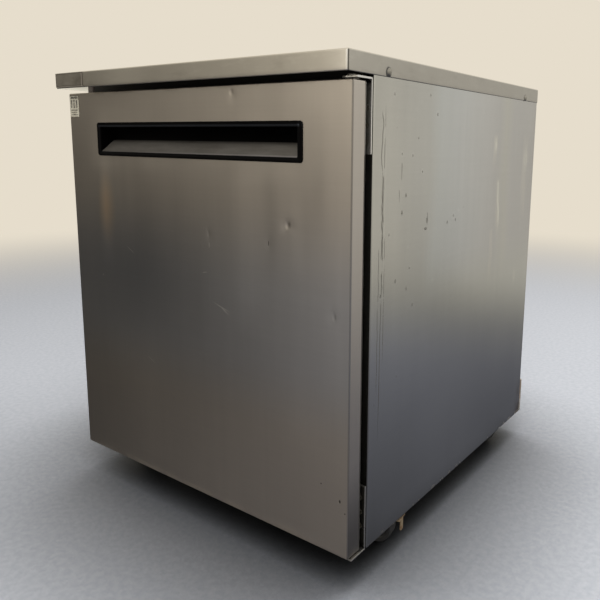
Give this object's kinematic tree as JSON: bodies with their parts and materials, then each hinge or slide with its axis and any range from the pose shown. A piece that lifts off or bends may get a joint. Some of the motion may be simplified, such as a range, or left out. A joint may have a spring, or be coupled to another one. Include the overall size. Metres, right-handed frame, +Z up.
{
  "type": "under counter fridge",
  "caption": "Stainless under-counter refrigerator with a hinged door, recessed black pull, wire shelves and a rear machine compartment, on swivel casters.",
  "frame": {"origin": "on the floor, under the centre of the footprint", "axes": "+X to the right when facing the door, +Y from the door to the back, +Z up"},
  "size_m": [0.6932, 0.7272, 0.813],
  "materials": {
    "stainless_top": "satin brushed stainless, lengthwise grain",
    "stainless_panel": "satin brushed stainless with light wear",
    "plate_grey": "plain grey plate, no marks",
    "galvanised": "galvanised sheet",
    "rusty_galvanised": "galvanised sheet with surface rust at the edges",
    "white_liner": "white moulded sheet",
    "insulation": "foamed insulation",
    "zinc": "zinc-plated steel",
    "hinge_steel": "bright steel plate",
    "gasket": "black magnetic gasket",
    "handle_black": "black moulded plastic, fine grain",
    "nylon": "nylon",
    "wire_chrome": "bright wire",
    "fin_aluminium": "thin fins on tubes",
    "fin_dusty": "dusty fins on tubes",
    "fan_aluminium": "pressed blades",
    "motor_grey": "painted motor can",
    "compressor_black": "black painted shell",
    "black_plastic": "moulded plastic",
    "pan_plastic": "moulded plastic",
    "knob_black": "moulded knob",
    "grommet": "rubber mounts",
    "copper": "copper, lightly tarnished",
    "cord": "black cord jacket",
    "yoke": "zinc-plated yoke with rust freckles",
    "brake": "worn pressed steel with rust",
    "wheel": "black moulded wheel"
  },
  "bodies": {
    "cabinet": {"worktop": "stainless_top", "nameplate": "plate_grey", "side_panel_left": "stainless_panel", "side_panel_right": "stainless_panel", "back_panel": "galvanised", "base_pan": "rusty_galvanised", "front_frame": "stainless_panel", "inner_liner": "white_liner", "cabinet_foam": "insulation", "panel_screws": "zinc", "hinge_bracket_top": "hinge_steel", "hinge_bracket_bottom": "hinge_steel", "hinge_pins": "zinc", "hinge_screws": "zinc", "shelf_pilasters": "zinc", "shelf_clips": "zinc", "evaporator_coil": "fin_aluminium", "evaporator_housing": "white_liner", "evaporator_fan_motor": "motor_grey", "evaporator_drain_pan": "pan_plastic", "thermostat": "black_plastic", "compressor": "compressor_black", "compressor_grommets": "grommet", "compressor_terminal_cover": "black_plastic", "condenser_coil": "fin_dusty", "condenser_shroud": "galvanised", "condenser_fan_motor": "motor_grey", "filter_drier": "copper", "refrigerant_lines": "copper", "condensate_pan": "black_plastic", "machine_tray": "galvanised", "rear_grille": "galvanised", "power_cord": "cord", "caster_plates": "zinc", "caster_bolts": "zinc"},
    "door": {"door_skin": "stainless_panel", "door_foam": "insulation", "door_liner": "white_liner", "door_gasket": "gasket", "door_handle": "handle_black", "hinge_bushes": "nylon"},
    "upper_shelf": {"shelf_upper": "wire_chrome"},
    "lower_shelf": {"shelf_lower": "wire_chrome"},
    "evap_fan": {"evaporator_fan": "fan_aluminium"},
    "cond_fan": {"condenser_fan": "fan_aluminium"},
    "temp_knob": {"thermostat_knob": "knob_black"},
    "caster_fl": {"caster_fork_fl": "yoke", "caster_axle_fl": "zinc"},
    "wheel_fl": {"caster_wheel_fl": "wheel"},
    "brake_fl": {"caster_brake_fl": "brake"},
    "caster_fr": {"caster_fork_fr": "yoke", "caster_axle_fr": "zinc"},
    "wheel_fr": {"caster_wheel_fr": "wheel"},
    "brake_fr": {"caster_brake_fr": "brake"},
    "caster_rl": {"caster_fork_rl": "yoke", "caster_axle_rl": "zinc"},
    "wheel_rl": {"caster_wheel_rl": "wheel"},
    "caster_rr": {"caster_fork_rr": "yoke", "caster_axle_rr": "zinc"},
    "wheel_rr": {"caster_wheel_rr": "wheel"}
  },
  "joints": [
    {"name": "door_hinge", "type": "hinge", "parent": "cabinet", "child": "door", "pos_m": [0.322, -0.323, 0.418], "axis": [0, 0, 1], "range_deg": [0, 105]},
    {"name": "upper_shelf_lift", "type": "slide", "parent": "cabinet", "child": "upper_shelf", "axis": [0, 0, 1], "range_m": [0, 0.012]},
    {"name": "lower_shelf_lift", "type": "slide", "parent": "cabinet", "child": "lower_shelf", "axis": [0, 0, 1], "range_m": [0, 0.012]},
    {"name": "evaporator_fan_spin", "type": "hinge", "parent": "cabinet", "child": "evap_fan", "pos_m": [-0.07, 0.17, 0.682], "axis": [0, 1, 0], "continuous": true},
    {"name": "condenser_fan_spin", "type": "hinge", "parent": "cabinet", "child": "cond_fan", "pos_m": [0.16, 0.257, 0.196], "axis": [0, 1, 0], "continuous": true},
    {"name": "thermostat_turn", "type": "hinge", "parent": "cabinet", "child": "temp_knob", "pos_m": [0.14, 0.14, 0.7], "axis": [0, -1, 0], "range_deg": [-270, 0]},
    {"name": "caster_swivel_fl", "type": "hinge", "parent": "cabinet", "child": "caster_fl", "pos_m": [-0.272, -0.196, 0.074], "axis": [0, 0, 1], "continuous": true},
    {"name": "wheel_spin_fl", "type": "hinge", "parent": "caster_fl", "child": "wheel_fl", "pos_m": [-0.28024, -0.2164, 0.032], "axis": [-0.9272, 0.3746, 0], "continuous": true},
    {"name": "brake_press_fl", "type": "hinge", "parent": "caster_fl", "child": "brake_fl", "pos_m": [-0.29317, -0.24839, 0.0505], "axis": [0.9272, -0.3746, 0], "range_deg": [0, 12]},
    {"name": "caster_swivel_fr", "type": "hinge", "parent": "cabinet", "child": "caster_fr", "pos_m": [0.272, -0.196, 0.074], "axis": [0, 0, 1], "continuous": true},
    {"name": "wheel_spin_fr", "type": "hinge", "parent": "caster_fr", "child": "wheel_fr", "pos_m": [0.29367, -0.19218, 0.032], "axis": [0.1736, -0.9848, 0], "continuous": true},
    {"name": "brake_press_fr", "type": "hinge", "parent": "caster_fr", "child": "brake_fr", "pos_m": [0.32764, -0.18619, 0.0505], "axis": [-0.1736, 0.9848, 0], "range_deg": [0, 12]},
    {"name": "caster_swivel_rl", "type": "hinge", "parent": "cabinet", "child": "caster_rl", "pos_m": [-0.272, 0.258, 0.074], "axis": [0, 0, 1], "continuous": true},
    {"name": "wheel_spin_rl", "type": "hinge", "parent": "caster_rl", "child": "wheel_rl", "pos_m": [-0.28095, 0.2781, 0.032], "axis": [0.9135, 0.4067, 0], "continuous": true},
    {"name": "caster_swivel_rr", "type": "hinge", "parent": "cabinet", "child": "caster_rr", "pos_m": [0.272, 0.258, 0.074], "axis": [0, 0, 1], "continuous": true},
    {"name": "wheel_spin_rr", "type": "hinge", "parent": "caster_rr", "child": "wheel_rr", "pos_m": [0.28554, 0.27534, 0.032], "axis": [0.788, -0.6157, 0], "continuous": true}
  ]
}
